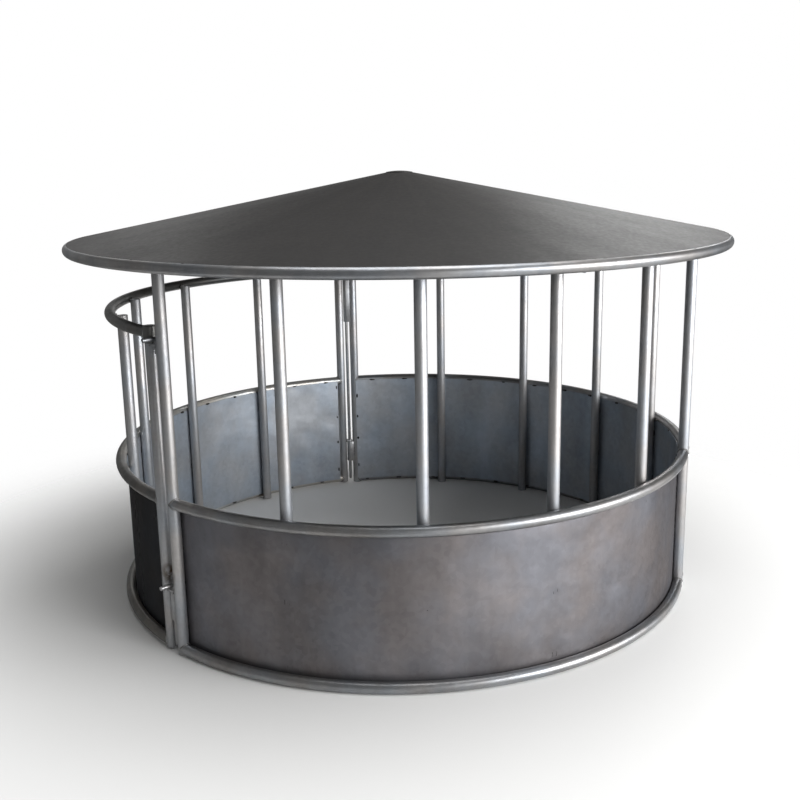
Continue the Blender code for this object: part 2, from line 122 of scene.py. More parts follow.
# %% [markdown]
# ## Galvanised finishes
#
# Hot-dipped zinc isn't one grey. It freezes in faint crystals, runs in streaks along the pipe
# as it drains, and dulls to a chalky bloom where water stands. One function mixes this for the
# pipe, the sheet and the fittings: small cells for the crystals, long noise for the drain
# streaks and wide noise for the bloom. Each finish then differs by its colours and by how the
# noise is stretched. First come a function and a small class that keep the node code short.

# %% Helpers that add shader nodes
def add_node(tree, kind, inputs, **settings):
    """A new shader node. An input is joined to the value when that is a socket, and set to it otherwise."""
    node = tree.nodes.new("ShaderNode" + kind)
    for key, value in settings.items():
        setattr(node, key, value)
    for key, value in inputs.items():
        if isinstance(value, bpy.types.NodeSocket):
            tree.links.new(value, node.inputs[key])
        else:
            node.inputs[key].default_value = value
    return node


class Nodes:
    """Adds and joins nodes in one material."""

    def __init__(self, name):
        self.material = bpy.data.materials.new(name)
        self.material.use_nodes = True
        self.tree = self.material.node_tree
        self.shader = self.tree.nodes["Principled BSDF"]
        self.coordinates = self.tree.nodes.new("ShaderNodeTexCoord").outputs["Object"]

    def add(self, kind, inputs, **settings):
        return add_node(self.tree, kind, inputs, **settings)

    def flattened(self):
        """The place without its height, whose length is the distance from the ring's axis."""
        return self.add("VectorMath", {0: self.coordinates, 1: (1.0, 1.0, 0.0)},
                        operation="MULTIPLY").outputs[0]

    def length(self, vector):
        return self.add("VectorMath", {0: vector}, operation="LENGTH").outputs["Value"]

    def stretched(self, scale):
        return self.add("Mapping", {"Vector": self.coordinates, "Scale": scale}).outputs["Vector"]

    def noise(self, vector, scale, detail, rough=0.55):
        return self.add("TexNoise", {"Vector": vector, "Scale": scale, "Detail": detail,
                                     "Roughness": rough}).outputs["Fac"]

    def spread(self, value, low, high, to_low=0.0, to_high=1.0):
        """Stretches the part of a value between low and high over a new range."""
        return self.add("MapRange", {"Value": value, "From Min": low, "From Max": high,
                                     "To Min": to_low, "To Max": to_high}).outputs["Result"]

    def mix(self, factor, a, b):
        """Blends two colours. Sockets 6 and 7 of the node, and its output 2, are the ones for colours."""
        a, b = (c if isinstance(c, bpy.types.NodeSocket) else (*c, 1.0) for c in (a, b))
        return self.add("Mix", {0: factor, 6: a, 7: b}, data_type="RGBA").outputs[2]

    def times(self, a, b):
        return self.add("Math", {0: a, 1: b}, operation="MULTIPLY").outputs[0]

    def plus(self, a, b):
        return self.add("Math", {0: a, 1: b}, operation="ADD").outputs[0]

    def bump(self, height, strength, distance, normal=None):
        inputs = {"Height": height, "Strength": strength, "Distance": distance}
        if normal is not None:
            inputs["Normal"] = normal
        return self.add("Bump", inputs).outputs["Normal"]

    def join(self, socket, value):
        self.tree.links.new(value, self.shader.inputs[socket])


# %% [markdown]
# The skirts have two faces. The inner one is lighter and bluer than the outer one, as painted light
# for the lamp light that falls inside the ring. Both faces are on one sheet, so the finish tells them
# apart by their distance from the ring's axis. The gate is darker than the ring, rails and sheet alike,
# as painted shade for the dim side it stands on, and its two lower rails have painted light inside too.
# The posts have one more mark: a brown stain where the lower latch pin has rubbed the zinc off.

# %% Galvanised steel
RUST = (0.085, 0.062, 0.040)
RUST_HEIGHT = 0.035  # over the lower latch pin
RUST_REACH = 0.055
SHEET_BORDER = (SKIRT_RADIUS - 0.5 * SHEET, 0.1 * SHEET)  # where the inner side starts, and its blur
# Where the rails' lighter inner side starts, and its blur; the lighter inside is painted light.
RAIL_BORDER = (RING - 0.2 * TUBE, 0.4 * TUBE)


def rust_mask(n, spot, reach):
    """1 in patches near the spot, falling to 0 at the reach."""
    away = n.add("VectorMath", {0: n.coordinates, 1: spot}, operation="DISTANCE").outputs["Value"]
    return n.times(n.spread(away, reach * 0.4, reach, 1.0, 0.0),
                   n.spread(n.noise(n.coordinates, 46.0, 4.0), 0.40, 0.56))


def inner_side_mask(n, border, blur):
    """1 nearer to the ring's axis than the border, 0 beyond it."""
    return n.spread(n.length(n.flattened()), border - blur, border + blur, 1.0, 0.0)


def zinc(name, dull, clean, metallic, roughness, streak, crystal=90.0, bloom=2.2, dents=0.0, wobble=0.0,
         inner=None, edge=1.0, rust_at=None):
    """Zinc over steel. streak is the noise scale along X, Y and Z that draws the drain marks.

    dents and wobble are heights in metres, of wide hollows and of the small waves of rolled pipe.
    inner is the dull and the clean colour of the inner side, lighter there as painted light, how metallic
    it is, and its border.
    edge is how much of a metal's grazing sheen the outer side keeps. rust_at is a spot and its reach.
    """
    n = Nodes(name)
    cells = n.add("TexVoronoi", {"Vector": n.coordinates, "Scale": crystal}).outputs["Color"]
    grain = n.add("SeparateColor", {"Color": cells}).outputs["Red"]
    runs = n.noise(n.stretched(streak), 1.0, 5.0)
    patches = n.noise(n.coordinates, bloom, 6.0, 0.6)
    tone = n.plus(n.times(n.spread(runs, 0.32, 0.68), 0.5), n.times(n.spread(patches, 0.3, 0.7), 0.5))
    tone = n.plus(n.times(tone, 0.86), n.times(grain, 0.14))
    warmth = n.spread(n.noise(n.coordinates, bloom * 1.7 + 0.9, 3.0), 0.38, 0.62)
    tint = n.mix(warmth, (1.04, 1.0, 0.965), (0.955, 1.0, 1.05))
    colour = n.mix(tone, dull, clean)
    # The inner side's lighter colours are painted light, for the lamp light that falls inside the ring.
    if inner:
        lit_inner_dull, lit_inner_clean, inner_metallic, border = inner
        painted_light_inner_face = inner_side_mask(n, *border)
        colour = n.mix(painted_light_inner_face, colour, n.mix(tone, lit_inner_dull, lit_inner_clean))
    if rust_at:
        colour = n.mix(rust_mask(n, *rust_at), colour, RUST)
    n.join("Base Color", n.add("VectorMath", {0: colour, 1: tint}, operation="MULTIPLY").outputs[0])
    spots = n.noise(n.coordinates, 38.0, 3.0)
    gloss = n.plus(n.spread(tone, 0.0, 1.0, roughness + 0.12, roughness - 0.05),
                   n.spread(spots, 0.35, 0.65, -0.03, 0.03))
    n.join("Roughness", gloss)
    if inner:
        n.join("Metallic", n.spread(painted_light_inner_face, 0.0, 1.0, metallic, inner_metallic))
        n.join("Specular Tint", n.mix(painted_light_inner_face, (edge, edge, edge), (1.0, 1.0, 1.0)))
    else:
        n.shader.inputs["Metallic"].default_value = metallic
        n.shader.inputs["Specular Tint"].default_value = (edge, edge, edge, 1.0)
    fine = n.bump(n.plus(n.times(spots, 0.6), n.times(grain, 0.4)), 0.12, 0.0006)
    if wobble:
        fine = n.bump(n.noise(n.coordinates, 13.0, 2.0), 1.0, wobble, fine)
    if dents:
        fine = n.bump(n.noise(n.stretched((2.6, 2.6, 3.4)), 1.0, 2.0), 1.0, dents, fine)
        fine = n.bump(n.noise(n.coordinates, 7.5, 2.0), 1.0, dents * 0.22, fine)
    n.join("Normal", fine)
    return n.material


print("sheltered side starts at radius %.4f on sheet, %.4f on rails" % (SHEET_BORDER[0], RAIL_BORDER[0]))

# %% [markdown]
# Each finish is a call with its dull and clean colours, how metallic and how rough it is, and
# how its noise is stretched: along the pipes, down the sheets, and not at all on small parts.

# %% Zinc finishes
latch_middle = (box_middle("front_latch_post") + box_middle("gate_latch_post")) / 2
rubbed = ring_point(RING, ring_angle(latch_middle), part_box("latch_pin_lower")[1].z + RUST_HEIGHT)
ROLLED = {"streak": (9, 9, 20), "wobble": 0.0013}
# The sheet's inner colours are lighter and bluer than its outer ones: painted light.
ROLLED_SHEET = {
    "streak": (5, 5, 1.6), "crystal": 55.0, "bloom": 1.6, "dents": 0.016, "edge": 0.15,
    "inner": ((0.230, 0.252, 0.282), (0.50, 0.545, 0.60), 0.66, SHEET_BORDER),
}
# The gate's rails are darker than the ring's: painted shade for the dim side the gate stands on.
GATE_SHADE_DULL, GATE_SHADE_CLEAN = (0.098, 0.096, 0.090), (0.200, 0.196, 0.186)
PIPE = zinc("pipe_zinc", (0.31, 0.313, 0.32), (0.50, 0.503, 0.51), 0.78, 0.43, (26, 26, 3.5),
            wobble=0.0016, edge=0.4, rust_at=(tuple(rubbed), RUST_REACH))
RAIL = zinc("rail_zinc", (0.20, 0.20, 0.203), (0.37, 0.372, 0.378), 0.93, 0.36, **ROLLED)
GATE_TOP_RAIL = zinc("gate_top_rail_zinc", GATE_SHADE_DULL, GATE_SHADE_CLEAN, 0.93, 0.37, **ROLLED)
# Inside, the gate's lower rails have lighter colours: painted light.
GATE_RAIL = zinc("gate_rail_zinc", GATE_SHADE_DULL, GATE_SHADE_CLEAN, 0.93, 0.37, **ROLLED,
                 inner=((0.33, 0.32, 0.30), (0.60, 0.585, 0.55), 0.85, RAIL_BORDER))
SKIRT = zinc("skirt_zinc", (0.112, 0.107, 0.111), (0.240, 0.231, 0.241), 0.86, 0.42, **ROLLED_SHEET)
# The gate's sheet is darker than the ring's skirts: painted shade for the same dim side.
GATE_SKIRT = zinc("gate_skirt_zinc", (0.046, 0.046, 0.048), (0.100, 0.101, 0.106), 0.86, 0.46,
                  **ROLLED_SHEET)
FITTING = zinc("fitting_zinc", (0.25, 0.25, 0.255), (0.44, 0.445, 0.45), 0.92, 0.40, (30, 30, 30))
FRAME = zinc("frame_zinc", (0.15, 0.15, 0.15), (0.26, 0.26, 0.262), 0.85, 0.48, (14, 14, 14))
ZINCS = (PIPE, RAIL, GATE_TOP_RAIL, GATE_RAIL, SKIRT, GATE_SKIRT, FITTING, FRAME)
print("zinc finishes:", [finish.name for finish in ZINCS])

# %% [markdown]
# ## The roof's finish
#
# The roof is much darker than the ring, a brownish grey with a slight sheen. Rain runs down a
# cone from its tip, so its marks run the same way. The streaks are noise on the direction
# from the axis, which has no seam, plus a little of the distance.

# %% Dark roof sheet
def roof_finish():
    n = Nodes("roof_dark")
    flat = n.flattened()
    heading = n.add("VectorMath", {0: flat}, operation="NORMALIZE").outputs[0]
    round_the_cone = n.add("VectorMath", {0: heading, 1: (9.0, 9.0, 9.0)}, operation="MULTIPLY").outputs[0]
    down_the_cone = n.add("CombineXYZ", {"Z": n.times(n.length(flat), 0.9)}).outputs[0]
    along = n.add("VectorMath", {0: round_the_cone, 1: down_the_cone}, operation="ADD").outputs[0]
    streaks = n.noise(along, 1.0, 5.0)
    clouds = n.noise(n.coordinates, 1.7, 6.0, 0.6)
    tone = n.plus(n.times(n.spread(streaks, 0.3, 0.7), 0.4), n.times(n.spread(clouds, 0.3, 0.7), 0.6))
    n.join("Base Color", n.mix(tone, (0.009, 0.0084, 0.008), (0.023, 0.021, 0.0195)))
    specks = n.noise(n.coordinates, 60.0, 3.0)
    n.join("Roughness", n.plus(n.spread(tone, 0.0, 1.0, 0.57, 0.48),
                               n.spread(specks, 0.3, 0.7, -0.04, 0.04)))
    n.shader.inputs["Metallic"].default_value = 0.1
    n.shader.inputs["Specular IOR Level"].default_value = 0.3
    waves = n.bump(n.noise(n.coordinates, 2.3, 2.0), 1.0, 0.008)
    n.join("Normal", n.bump(specks, 0.08, 0.0005, waves))
    return n.material


ROOF = roof_finish()
print("roof finish:", ROOF.name)

# %% [markdown]
# ## Weld metal
#
# A bead is a row of frozen ripples, bright in patches where it was brushed and brown-grey between. The
# short tacks along the sheets were made after galvanising and left alone, so they are nearly black.

# %% Weld finish
def weld_finish(name, dip, ridge):
    n = Nodes(name)
    ripples = n.noise(n.coordinates, 260.0, 4.0)
    tint = n.noise(n.coordinates, 30.0, 2.0)
    n.join("Base Color", n.mix(n.spread(tint, 0.35, 0.65), dip, ridge))
    n.join("Roughness", n.spread(ripples, 0.3, 0.7, 0.36, 0.6))
    n.shader.inputs["Metallic"].default_value = 0.85
    n.join("Normal", n.bump(ripples, 0.35, 0.0012))
    return n.material


WELD = weld_finish("weld_metal", (0.13, 0.125, 0.12), (0.42, 0.42, 0.42))
TACK_METAL = weld_finish("tack_metal", (0.018, 0.016, 0.015), (0.11, 0.105, 0.10))
print("weld finishes:", WELD.name, TACK_METAL.name)

# %% [markdown]
# ## From mesh code to a piece
#
# Every piece ends the same way. Its faces are turned outwards, its round stretches are shaded
# smooth while its corners stay crisp, it rides on a body of the CAD model, and the CAD nodes
# it stands for are hidden. Its object stays at the origin: the place is in the mesh.

# %% Turn a bmesh into a piece
CRISP = math.radians(38)


def make_piece(name, bm, material, body, slot, *nodes):
    bmesh.ops.recalc_face_normals(bm, faces=bm.faces)
    mesh = bpy.data.meshes.new(name)
    bm.to_mesh(mesh)
    bm.free()
    mesh.shade_smooth()
    mesh.set_sharp_from_angle(angle=CRISP)
    mesh.materials.append(material)
    piece = bpy.data.objects.new(name, mesh)
    bpy.context.scene.collection.objects.link(piece)
    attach(piece, body)
    if nodes:
        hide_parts(*nodes)
    return piece


def turn_about_z(bm, degrees):
    turn = Matrix.Rotation(math.radians(degrees), 3, "Z")
    bmesh.ops.rotate(bm, verts=bm.verts, cent=(0, 0, 0), matrix=turn)


print("corners over %.0f degrees stay crisp" % math.degrees(CRISP))

# %% [markdown]
# ## Rolled rails
#
# A rail is pipe that was rolled to the radius of the ring. A circle spun about the ring's axis
# gives exactly that. It stops on the axis of each end post, so its ends are inside the posts
# and the joint reads as a fitted, welded one.

# %% Spin the rails
STEP_DEGREES = 1.25


def rolled_pipe(radius, height, tube, start, stop, closed=False):
    """Pipe bent about Z, from one ring angle to another."""
    bm = bmesh.new()
    circle = bmesh.ops.create_circle(bm, segments=SIDES, radius=tube)
    bmesh.ops.rotate(bm, verts=bm.verts, matrix=Matrix.Rotation(math.radians(90), 3, "X"))
    bmesh.ops.translate(bm, verts=bm.verts, vec=(radius, 0, height))
    steps = round((stop - start) / STEP_DEGREES)
    bmesh.ops.spin(bm, geom=list(bm.verts) + list(bm.edges), axis=(0, 0, 1), cent=(0, 0, 0),
                   angle=math.radians(stop - start), steps=steps, use_merge=closed)
    if not closed:
        rim = [edge for edge in bm.edges if edge.is_boundary]
        bmesh.ops.holes_fill(bm, edges=rim, sides=SIDES)
    turn_about_z(bm, start - 90)
    return bm


for section in SECTIONS:
    start, stop = section_angles(section)
    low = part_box(section + "_bottom_rail")[0].z
    for part, radius, height in (("bottom_rail", RING, low + TUBE), ("mid_rail", RING, MID_HEIGHT)):
        name = section + "_" + part
        make_piece(name + "_pipe", rolled_pipe(radius, height, TUBE, start, stop),
                   GATE_RAIL if section == "gate" else RAIL, BODY[section], "tube", name)
    if section != "gate":
        make_piece(section + "_top_rail_pipe", rolled_pipe(TOP_RING, TOP_HEIGHT, TUBE, start, stop),
                   RAIL, BODY[section], "tube", section + "_top_rail")
    print(section, "rails rolled")

# %% [markdown]
# ## Posts
#
# The posts are straight lengths of the same pipe, sawn square. An open cone of equal radii is
# a tube without a wall, solidify gives it the wall, and a small bevel takes the saw's edge off
# both ends.

# %% Cut the posts
SAME_PLACE = 1e-6  # closer than this, two points are one


def straight_pipe(x, y, low, high, outer, wall):
    bm = bmesh.new()
    bmesh.ops.create_cone(bm, cap_ends=False, segments=SIDES, radius1=outer, radius2=outer,
                          depth=high - low)
    bmesh.ops.recalc_face_normals(bm, faces=bm.faces)
    bmesh.ops.solidify(bm, geom=list(bm.faces), thickness=wall)
    ends = [e for e in bm.edges if abs(e.verts[0].co.z - e.verts[1].co.z) < SAME_PLACE]
    bmesh.ops.bevel(bm, geom=ends, offset=wall / 5, segments=2, profile=0.5, affect="EDGES", material=-1)
    bmesh.ops.translate(bm, verts=bm.verts, vec=(x, y, (low + high) / 2))
    return bm


for section, posts in SECTIONS.items():
    uprights = [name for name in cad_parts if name.startswith(section + "_upright")]
    for post in list(posts) + sorted(uprights):
        low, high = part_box(post)
        middle = box_middle(post)
        make_piece(post + "_pipe", straight_pipe(middle.x, middle.y, low.z, high.z, TUBE, WALL), PIPE,
                   BODY[section], "tube", post)
    print(section, "has", len(posts) + len(uprights), "posts")

# %% [markdown]
# ## Skirts
#
# Each skirt is one sheet rolled to the ring and laid against the inner side of its two rails.
# It is a line spun about Z and given its thickness inwards.

# %% Roll the skirts
def rolled_sheet(outer, low, high, start, stop):
    bm = bmesh.new()
    a, b = (bm.verts.new((outer, 0, z)) for z in (low, high))
    bm.edges.new((a, b))
    steps = round((stop - start) / STEP_DEGREES)
    bmesh.ops.spin(bm, geom=list(bm.verts) + list(bm.edges), axis=(0, 0, 1), cent=(0, 0, 0),
                   angle=math.radians(stop - start), steps=steps)
    bmesh.ops.recalc_face_normals(bm, faces=bm.faces)
    first = bm.faces[:][0]
    if first.normal.dot(first.calc_center_median()) < 0:
        bmesh.ops.reverse_faces(bm, faces=bm.faces)
    bmesh.ops.solidify(bm, geom=list(bm.faces), thickness=SHEET)
    turn_about_z(bm, start - 90)
    return bm


GATE_SHEET_CLEARANCE = 0.0055  # the gate's sheet stops short of its posts
GATE_TRIM = math.degrees((TUBE + GATE_SHEET_CLEARANCE) / RING)
for section in SECTIONS:
    start, stop = section_angles(section)
    trim = GATE_TRIM if section == "gate" else 0.0
    low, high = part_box(section + "_skirt")
    make_piece(section + "_skirt_sheet",
               rolled_sheet(SKIRT_RADIUS, low.z, high.z, start + trim, stop - trim),
               GATE_SKIRT if section == "gate" else SKIRT, BODY[section], "skirt", section + "_skirt")
print("skirts rolled at radius %.4f" % SKIRT_RADIUS)

# %% [markdown]
# ## Roof
#
# The sheet is a cone, the rim is a full ring of pipe under its edge, and a cap closes the tip.
# The cone's line runs from its inner edge at the hub to the outer edge of the CAD sheet.

# %% Spin the roof sheet, the rim and the cap
ROOF_STEPS = 240


def spin_full(points, steps=ROOF_STEPS):
    """A line of points in the XZ plane turned all the way round Z."""
    bm = bmesh.new()
    verts = [bm.verts.new((x, 0, z)) for x, z in points]
    for a, b in zip(verts, verts[1:]):
        bm.edges.new((a, b))
    bmesh.ops.spin(bm, geom=list(bm.verts) + list(bm.edges), axis=(0, 0, 1), cent=(0, 0, 0),
                   angle=math.radians(360), steps=steps, use_merge=True)
    bmesh.ops.remove_doubles(bm, verts=bm.verts, dist=SAME_PLACE)
    bmesh.ops.recalc_face_normals(bm, faces=bm.faces)
    return bm


sheet_low, sheet_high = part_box("roof_sheet")
cap_low, cap_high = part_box("roof_cap")
EDGE_RADIUS = sheet_high.x
HUB_RADIUS = 0.0418
ROOF_SHEET = 0.0015
ROOF_ROWS = 24
PITCH = math.atan2(sheet_high.z - sheet_low.z, EDGE_RADIUS - HUB_RADIUS)


def roof_height(radius):
    """Height of the sheet's outer face."""
    return sheet_high.z - (radius - HUB_RADIUS) * math.tan(PITCH)


radii = [HUB_RADIUS + (EDGE_RADIUS - HUB_RADIUS) * i / ROOF_ROWS for i in range(ROOF_ROWS + 1)]
line = [(radius, roof_height(radius)) for radius in radii]
under = [(x - ROOF_SHEET * math.sin(PITCH), z - ROOF_SHEET * math.cos(PITCH)) for x, z in reversed(line)]
make_piece("roof_cone", spin_full(line + under + line[:1]), ROOF, "ring", "roof", "roof_sheet")
make_piece("roof_rim_pipe", rolled_pipe(RIM_RADIUS, RIM_HEIGHT, RIM_TUBE, 0, 360, closed=True), RAIL,
           "ring", "tube", "roof_rim")
CAP_RADIUS = cap_high.x
CAP_THICKNESS = 0.0025
CAP_RISE = 0.0052
CAP_ROWS = 8
CAP_STEPS = 64
STEM = 0.040
STEM_BORE = STEM - 0.004
dome = [(CAP_RADIUS * i / CAP_ROWS, cap_high.z - CAP_RISE * (i / CAP_ROWS) ** 2)
        for i in range(CAP_ROWS + 1)]
under_dome = [(x, z - CAP_THICKNESS) for x, z in dome]
inside = [(x, z) for x, z in under_dome if x < STEM_BORE]
outside = [(x, z) for x, z in under_dome if x > STEM]
stem_line = [(STEM, outside[0][1]), (STEM, cap_low.z), (STEM_BORE, cap_low.z), (STEM_BORE, inside[-1][1])]
cap_line = dome + outside[::-1] + stem_line + inside[::-1]
make_piece("roof_cap_dome", spin_full(cap_line, CAP_STEPS), ROOF, "ring", "roof", "roof_cap")
print("roof pitch %.2f degrees, edge radius %.4f" % (math.degrees(PITCH), EDGE_RADIUS))

# %% [markdown]
# ## Rafters and hangers
#
# Square tube and plate have slightly rounded edges. Here the CAD shape is right, so a copy of
# its mesh is cleaned and its long edges are bevelled.

# %% Bevel copies of the CAD shapes
RAFTER_EDGE = 0.0006
HANGER_EDGE = 0.0005


def bevelled_copy(node, width, material, slot):
    bm = bmesh.new()
    bm.from_mesh(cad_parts[node].data)
    bmesh.ops.remove_doubles(bm, verts=bm.verts, dist=SAME_PLACE)
    bmesh.ops.dissolve_limit(bm, angle_limit=math.radians(1), verts=bm.verts, edges=bm.edges)
    corners = [e for e in bm.edges if e.is_manifold and e.calc_face_angle_signed(0.0) > math.radians(40)]
    bmesh.ops.bevel(bm, geom=corners, offset=width, segments=2, profile=0.5, affect="EDGES", material=-1)
    make_piece(node + "_rounded", bm, material, "ring", slot, node)


for node in sorted(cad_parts):
    if node.startswith("roof_rafter"):
        bevelled_copy(node, RAFTER_EDGE, FRAME, "frame")
    if node.startswith("roof_hanger"):
        bevelled_copy(node, HANGER_EDGE, FITTING, "hardware")
print("rafters and hangers rounded")

# %% [markdown]
# ## The gate's top rail
#
# The gate stops well below the roof, and its top rail drops over its end posts: a short socket
# with a flange at its foot is welded to each end of the rail. The rail is rolled as the others
# are, and each socket is a spun profile.

# %% Gate top rail and its sockets
gate_low, gate_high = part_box("gate_top_rail")
SOCKET_RADIUS = 0.0242
FLANGE_RADIUS = 0.0270
FLANGE_TOP = gate_low.z + 0.006
SOCKET_BORE = TUBE + 0.0008
SOCKET_EDGE = 0.002
FLANGE_EDGE = 0.001
SOCKET_CEILING = gate_high.z - 0.004
GATE_TOP = SOCKET_CEILING - 0.0015 - TUBE  # centre of the rail, just under the sockets' ceilings
start, stop = section_angles("gate")
bm = rolled_pipe(TOP_RING, GATE_TOP, TUBE, start, stop)
socket_line = [
    (0, gate_high.z), (SOCKET_RADIUS - SOCKET_EDGE, gate_high.z),
    (SOCKET_RADIUS, gate_high.z - SOCKET_EDGE), (SOCKET_RADIUS, FLANGE_TOP),
    (FLANGE_RADIUS - FLANGE_EDGE, FLANGE_TOP),
    (FLANGE_RADIUS, FLANGE_TOP - FLANGE_EDGE), (FLANGE_RADIUS, gate_low.z),
    (SOCKET_BORE, gate_low.z), (SOCKET_BORE, SOCKET_CEILING), (0, SOCKET_CEILING),
]
for angle in (start, stop):
    socket = spin_full(socket_line, SIDES)
    bmesh.ops.translate(socket, verts=socket.verts, vec=ring_point(RING, angle))
    mesh = bpy.data.meshes.new("socket")
    socket.to_mesh(mesh)
    socket.free()
    bm.from_mesh(mesh)
    bpy.data.meshes.remove(mesh)
make_piece("gate_top_rail_pipe", bm, GATE_TOP_RAIL, "gate", "tube", "gate_top_rail")
print("gate top rail at %.4f" % GATE_TOP)

# %% [markdown]
# ## Lugs, rods and pins
#
# The three sections are joined by rods through pairs of lugs. A lug is plate, or a deep barrel,
# cut hollow to fit the post it is welded to. Its outline is a flat filled curve, which gives
# the hole for free, and becomes a mesh before its edges are bevelled.

# %% Cut the lugs
ROD = 0.008
BORE = ROD + 0.0005
EYE = BORE + 0.0055
LUG_SEAT = TUBE + 0.0005  # radius of the hollow that takes the post
LUG_EDGE = 0.0008
JOINTS = {"latch": ("front", "gate"), "side": ("back", "front"), "hinge": ("back", "gate")}


def joint_axis(joint):
    a, b = (box_middle("%s_%s_post" % (section, joint)) for section in JOINTS[joint])
    return ring_angle((a + b) / 2)


def arc(centre, radius, start, stop, steps):
    """Points round (centre, 0), with both ends."""
    angles = (math.radians(start + (stop - start) * i / steps) for i in range(steps + 1))
    return [(centre + radius * math.cos(a), radius * math.sin(a)) for a in angles]


def curve_mesh(curve):
    """The mesh of a curve, as a bmesh. The curve itself is thrown away."""
    holder = bpy.data.objects.new("holder", curve)
    bpy.context.scene.collection.objects.link(holder)
    bpy.context.view_layer.update()
    shaped = holder.evaluated_get(bpy.context.evaluated_depsgraph_get())
    bm = bmesh.new()
    bm.from_mesh(shaped.to_mesh())
    shaped.to_mesh_clear()
    bpy.data.objects.remove(holder)
    bpy.data.curves.remove(curve)
    bmesh.ops.remove_doubles(bm, verts=bm.verts, dist=SAME_PLACE)
    return bm


def lug_mesh(reach, thickness):
    """A lug with its eye round Z, hollowed for a post whose axis is at X = reach."""
    half = math.degrees(math.asin(EYE / LUG_SEAT))
    outline = arc(0, EYE, 90, 270, 18) + arc(reach, LUG_SEAT, 180 + half, 180 - half, 10)
    hole = arc(0, BORE, 0, 360, SIDES)[:-1]
    curve = bpy.data.curves.new("lug", "CURVE")
    curve.dimensions = "2D"
    curve.fill_mode = "BOTH"
    curve.extrude = thickness / 2
    for points in (outline, hole):
        spline = curve.splines.new("POLY")
        spline.points.add(len(points) - 1)
        for point, (x, y) in zip(spline.points, points):
            point.co = (x, y, 0, 1)
        spline.use_cyclic_u = True
    bm = curve_mesh(curve)
    bmesh.ops.recalc_face_normals(bm, faces=bm.faces)
    edges = [e for e in bm.edges if e.is_manifold and e.calc_face_angle_signed(0.0) > math.radians(60)]
    bmesh.ops.bevel(bm, geom=edges, offset=LUG_EDGE, segments=2, profile=0.5, affect="EDGES", material=-1)
    return bm


for joint, sections in JOINTS.items():
    eye = ring_point(RING, joint_axis(joint))
    for section in sections:
        post = box_middle("%s_%s_post" % (section, joint))
        along = Vector((post.x - eye.x, post.y - eye.y))
        for level in ("lower", "upper"):
            node = "%s_%s_lug_%s" % (section, joint, level)
            low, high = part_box(node)
            bm = lug_mesh(along.length, high.z - low.z)
            turn_about_z(bm, math.degrees(math.atan2(along.y, along.x)))
            bmesh.ops.translate(bm, verts=bm.verts, vec=(eye.x, eye.y, (low.z + high.z) / 2))
            make_piece(node + "_cut", bm, FITTING, BODY[section], "hardware", node)
    print(joint, "joint at %.2f degrees" % joint_axis(joint))

# %% [markdown]
# The rods are round bar with a collar that rests on the lugs. The long ones are straight, and
# the two drop pins have a bent end to pull them by. A bevelled curve with a radius at each
# point makes bar, collar and taper in one go.

# %% Bend the rods and the drop pins
COLLAR = (ROD + 0.0023) / ROD  # as a share of the bar's radius
COLLAR_THICKNESS = 0.004
HEAD = 0.010  # plain end of a long rod, over its collar
NECK = 0.001  # between a pin's collar and its bend
BEND = 0.012
BEND_STEPS = 10
HANDLE = 0.055  # reach of a pin's bent end
# Ends and edges are pairs: how far from the end or the face, and the share of the bar's radius.
TIP = ((0.0, 0.55), (0.004, 0.85), (0.009, 1.0))
SAWN_END = ((0.0012, 1.0), (0.0003, 0.94), (0.0, 0.86))
COLLAR_EDGE = ((0.0001, 1.22), (0.0007, COLLAR))


def bar_mesh(length, bent):
    """Bar along Z that hangs by its collar from Z = 0, straight or bent over at its top."""
    line = [(0, 0, -length + rise, share) for rise, share in TIP] + [(0, 0, -0.0001, 1.0)]
    line += [(0, 0, inset, share) for inset, share in COLLAR_EDGE]
    line += [(0, 0, COLLAR_THICKNESS - inset, share) for inset, share in reversed(COLLAR_EDGE)]
    line.append((0, 0, COLLAR_THICKNESS, 1.0))
    if bent:
        for i in range(BEND_STEPS + 1):
            a = math.radians(90 * i / BEND_STEPS)
            line.append((BEND * (1 - math.cos(a)), 0, COLLAR_THICKNESS + NECK + BEND * math.sin(a), 1.0))
        line += [(HANDLE - inset, 0, COLLAR_THICKNESS + NECK + BEND, share) for inset, share in SAWN_END]
    else:
        line += [(0, 0, COLLAR_THICKNESS + HEAD - inset, share) for inset, share in SAWN_END]
    curve = bpy.data.curves.new("bar", "CURVE")
    curve.dimensions = "3D"
    curve.bevel_depth = ROD
    curve.bevel_resolution = 5
    curve.use_fill_caps = True
    spline = curve.splines.new("POLY")
    spline.points.add(len(line) - 1)
    for point, (x, y, z, radius) in zip(spline.points, line):
        point.co = (x, y, z, 1)
        point.radius = radius
    return curve_mesh(curve)


BARS = {
    "side_rod": ("side", ("back_side_lug_upper", "front_side_lug_upper"), "ring"),
    "hinge_rod": ("hinge", ("gate_hinge_lug_upper",), "ring"),
    "latch_pin_lower": ("latch", ("gate_latch_lug_lower",), "lower_pin"),
    "latch_pin_upper": ("latch", ("gate_latch_lug_upper",), "upper_pin"),
}
for node, (joint, lugs, body) in BARS.items():
    seat = max(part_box(lug)[1].z for lug in lugs) + GAP
    bm = bar_mesh(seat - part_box(node)[0].z, bent=joint == "latch")
    turn_about_z(bm, joint_axis(joint) - 90)
    bmesh.ops.translate(bm, verts=bm.verts, vec=ring_point(RING, joint_axis(joint), seat))
    make_piece(node + "_bar", bm, FITTING, body, "hardware", node)
    print(node, "seat at %.4f" % seat)

# %% [markdown]
# ## Weld beads
#
# Every joint of pipe to pipe is welded round the saddle where the two meet, and the sheets are
# tacked. A bead is laid as a line of points with small random lumps. The beads of one body
# become one piece, and its tacks another.

# %% Lay the beads
rng = random.Random(7)
BEAD = 0.0036  # radius, like all sizes of beads
TACK = 0.0034
LUMPS = (0.8, 1.15)  # shares of the radius that a bead goes down and up to
THIN_END = 0.35
OFF_GROUND = 0.0002
SADDLE_POINTS = 32
UP = Vector((0, 0, 1))
beads = {"ring": [], "gate": []}
tacks = {"ring": [], "gate": []}


